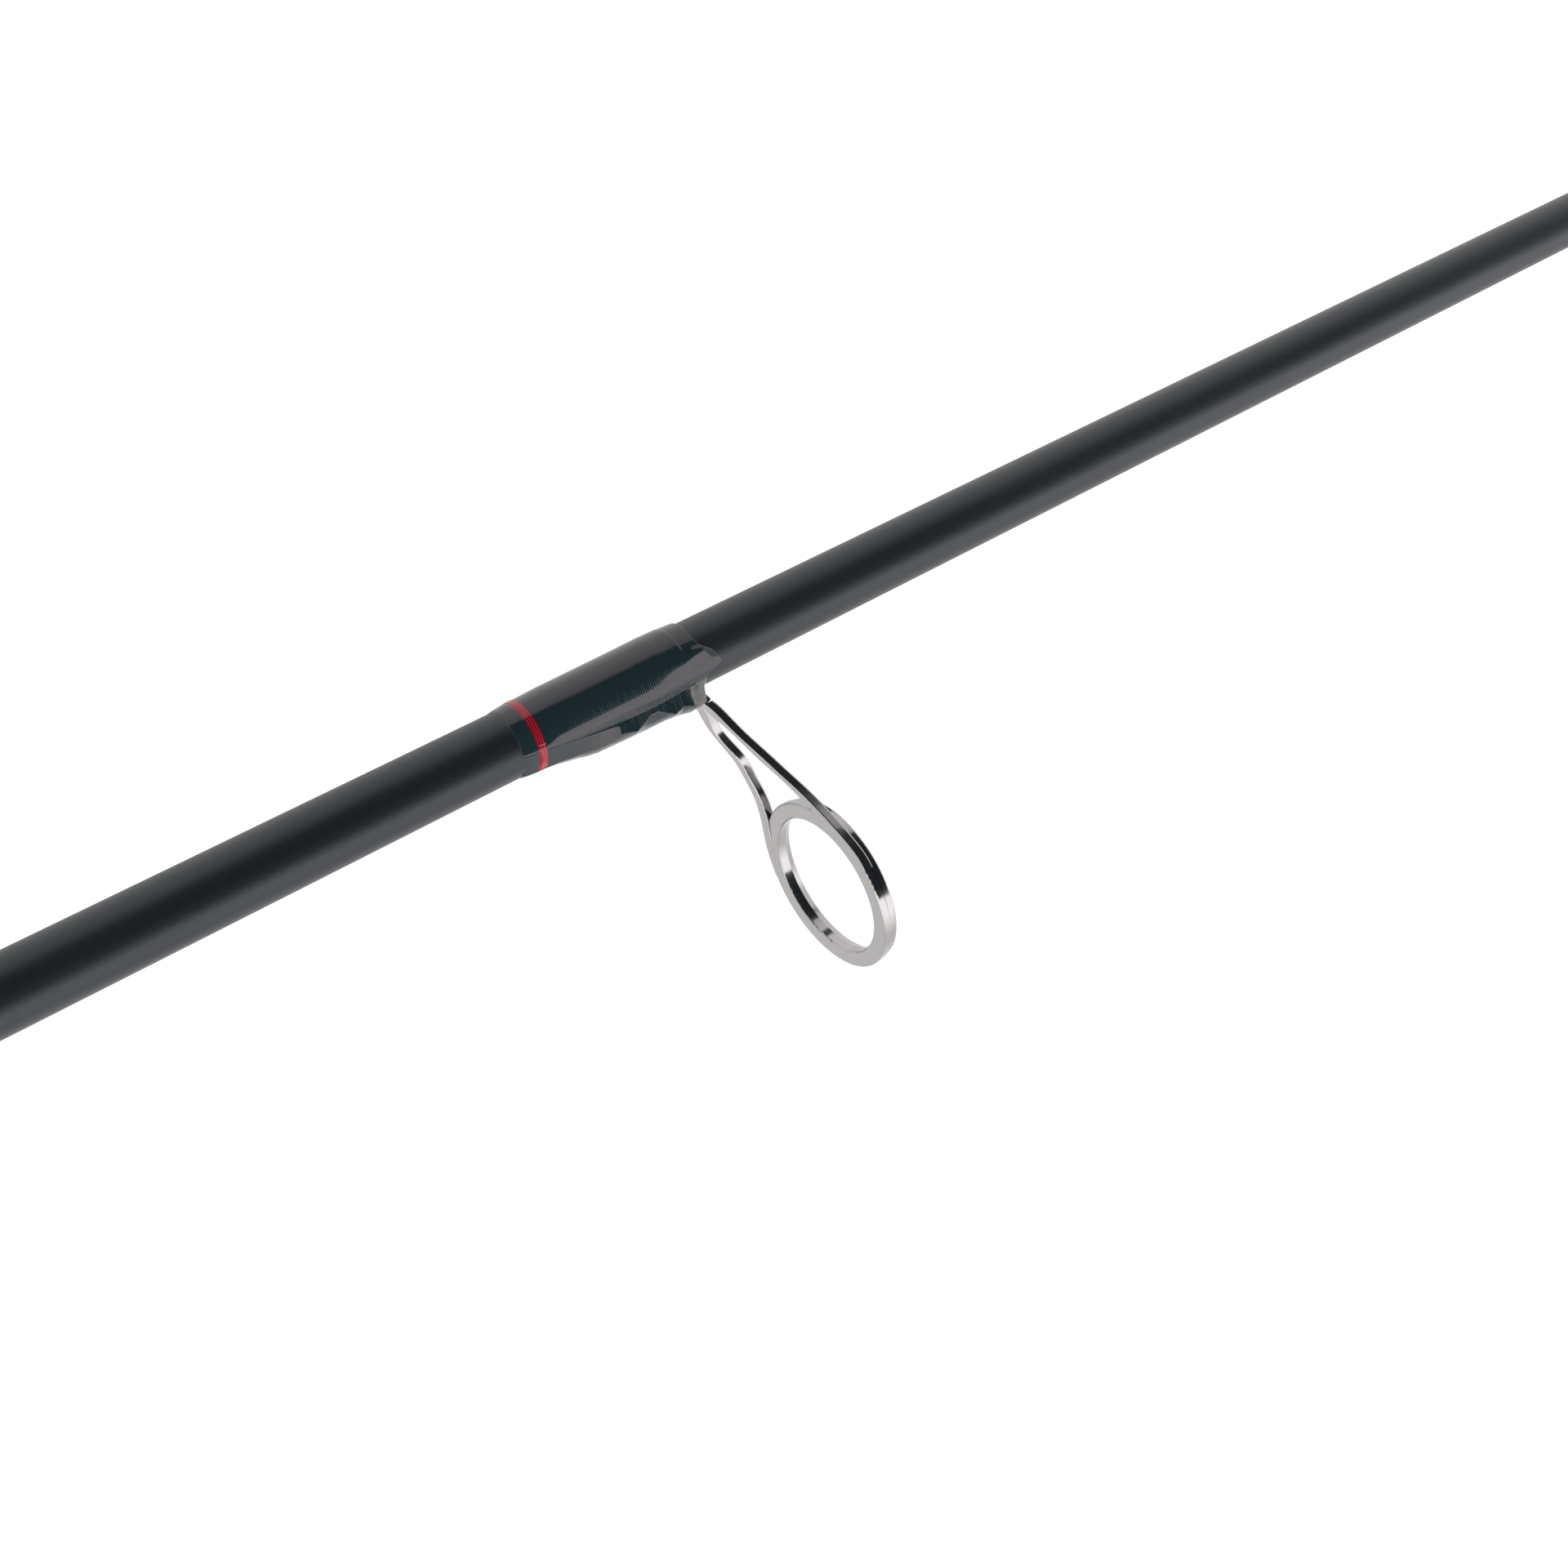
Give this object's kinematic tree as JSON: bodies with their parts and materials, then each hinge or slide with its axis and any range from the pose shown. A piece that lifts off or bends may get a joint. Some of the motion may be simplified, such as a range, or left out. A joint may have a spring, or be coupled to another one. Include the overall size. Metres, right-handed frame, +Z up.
{
  "type": "spinning rod and reel",
  "caption": "Two-piece spinning rod with stamped steel single-foot guides on red-trimmed wraps, foam grips, a screw seat and a working front-drag spinning reel.",
  "frame": {"origin": "on the rod's axis at the front face of the butt cap, where the rear grip begins", "axes": "+X along the rod to the tip, +Z up, away from the guides and the reel, +Y to the crank side"},
  "size_m": [1.835, 0.0991, 0.1549],
  "materials": {
    "blank": "satin lacquered graphite",
    "spigot": "ground glass fibre",
    "grip_foam": "closed-cell foam, fine matte grain",
    "cap_rubber": "matte moulded rubber",
    "seat": "moulded, low gloss",
    "hood_metal": "dark anodised, satin",
    "wrap": "black winding thread under clear gloss varnish",
    "trim": "red winding thread under clear gloss varnish",
    "guide_steel": "polished stainless steel",
    "reel_paint": "black satin paint",
    "reel_trim": "red gloss",
    "reel_plastic": "black moulded",
    "screw_steel": "bright zinc",
    "bearing_steel": "ground steel",
    "gear_brass": "machined",
    "gear_alloy": "die cast zinc alloy",
    "handle_metal": "black satin paint",
    "knob_rubber": "soft matte",
    "bail_steel": "polished",
    "spool_metal": "anodised, gloss",
    "line": "clear nylon line, wound tight",
    "felt": "felt and steel discs"
  },
  "bodies": {
    "rod": {"butt_cap": "cap_rubber", "rear_grip": "grip_foam", "reel_seat_body": "seat", "fixed_hood": "hood_metal", "fore_grip": "grip_foam", "winding_check": "hood_metal", "butt_blank": "blank", "ferrule_spigot": "spigot", "stripper_guide_frame": "guide_steel", "stripper_guide_wraps": "wrap", "butt_trim_bands": "trim", "butt_plain_wraps": "wrap", "hook_keeper": "guide_steel", "reel_housing": "reel_paint", "side_cover": "reel_paint", "cover_screws": "screw_steel", "shaft_cap": "reel_trim", "tail_cover": "reel_plastic", "pinion_bearing": "bearing_steel", "one_way_clutch": "bearing_steel", "side_bearings": "bearing_steel"},
    "tip_section": {"tip_blank": "blank", "tip_trim_bands": "trim", "tip_plain_wraps": "wrap", "tip_top": "guide_steel", "second_guide_frame": "guide_steel", "second_guide_wrap": "wrap", "third_guide_frame": "guide_steel", "third_guide_wrap": "wrap", "fourth_guide_frame": "guide_steel", "fourth_guide_wrap": "wrap", "fifth_guide_frame": "guide_steel", "fifth_guide_wrap": "wrap", "sixth_guide_frame": "guide_steel", "sixth_guide_wrap": "wrap"},
    "hood": {"sliding_hood": "hood_metal"},
    "nut": {"lock_nut": "seat"},
    "lever": {"anti_reverse_lever": "reel_plastic"},
    "crank": {"drive_gear": "gear_alloy", "handle_arm": "handle_metal", "knob_spindle": "screw_steel"},
    "crank_knob": {"handle_knob": "knob_rubber"},
    "stroke_gear": {"oscillation_gear": "gear_alloy"},
    "rotor": {"rotor": "reel_paint", "pinion_gear": "gear_brass", "rotor_nut": "screw_steel", "bail_pivot_screws": "screw_steel"},
    "bail": {"bail_arm": "handle_metal", "bail_far_arm": "handle_metal", "bail_wire": "bail_steel", "roller_screw": "screw_steel"},
    "roller": {"line_roller": "bail_steel"},
    "shaft": {"main_shaft": "screw_steel", "oscillation_slider": "gear_alloy"},
    "spool": {"spool": "spool_metal", "line_pack": "line", "line_clip": "reel_trim", "drag_washers": "felt"},
    "drag_dial": {"drag_knob": "reel_plastic"}
  },
  "joints": [
    {"name": "tip_section_pull", "type": "slide", "parent": "rod", "child": "tip_section", "axis": [1, 0, 0], "range_m": [0, 0.06]},
    {"name": "lock_nut_turn", "type": "hinge", "parent": "hood", "child": "nut", "pos_m": [0.29, 0, 0], "axis": [1, 0, 0], "range_deg": [0, 2160]},
    {"name": "sliding_hood_slide", "type": "slide", "parent": "rod", "child": "hood", "axis": [1, 0, 0], "range_m": [0, 0.009]},
    {"name": "anti_reverse_lever_turn", "type": "hinge", "parent": "rod", "child": "lever", "pos_m": [0.202, 0, -0.084], "axis": [1, 0, 0], "range_deg": [0, 40]},
    {"name": "crank_turn", "type": "hinge", "parent": "rod", "child": "crank", "pos_m": [0.24, 0, -0.0775], "axis": [0, 1, 0], "continuous": true},
    {"name": "crank_knob_spin", "type": "hinge", "parent": "crank", "child": "crank_knob", "pos_m": [0.24, 0.05, -0.1295], "axis": [0, 1, 0], "continuous": true},
    {"name": "rotor_spin", "type": "hinge", "parent": "rod", "child": "rotor", "pos_m": [0.28, 0, -0.07], "axis": [1, 0, 0], "continuous": true},
    {"name": "stroke_gear_spin", "type": "hinge", "parent": "rod", "child": "stroke_gear", "pos_m": [0.228, -0.007, -0.0775], "axis": [0, 1, 0], "continuous": true},
    {"name": "bail_flip", "type": "hinge", "parent": "rotor", "child": "bail", "pos_m": [0.306, 0, -0.07], "axis": [0, -1, 0], "range_deg": [0, 110]},
    {"name": "line_roller_spin", "type": "hinge", "parent": "bail", "child": "roller", "pos_m": [0.32566, 0.0268, -0.08377], "axis": [0, 1, 0], "continuous": true},
    {"name": "spool_stroke", "type": "slide", "parent": "rod", "child": "shaft", "axis": [1, 0, 0], "range_m": [0, 0.012]},
    {"name": "spool_spin", "type": "hinge", "parent": "shaft", "child": "spool", "pos_m": [0.31, 0, -0.07], "axis": [1, 0, 0], "continuous": true},
    {"name": "drag_dial_turn", "type": "hinge", "parent": "shaft", "child": "drag_dial", "pos_m": [0.325, 0, -0.07], "axis": [1, 0, 0], "range_deg": [0, 1080]}
  ],
  "couplings": [
    {"joint": "lock_nut_turn", "follows": "sliding_hood_slide", "rad_per_m": 4188.8},
    {"joint": "rotor_spin", "follows": "crank_turn", "ratio": -5.2},
    {"joint": "stroke_gear_spin", "follows": "crank_turn", "ratio": -0.66667}
  ]
}
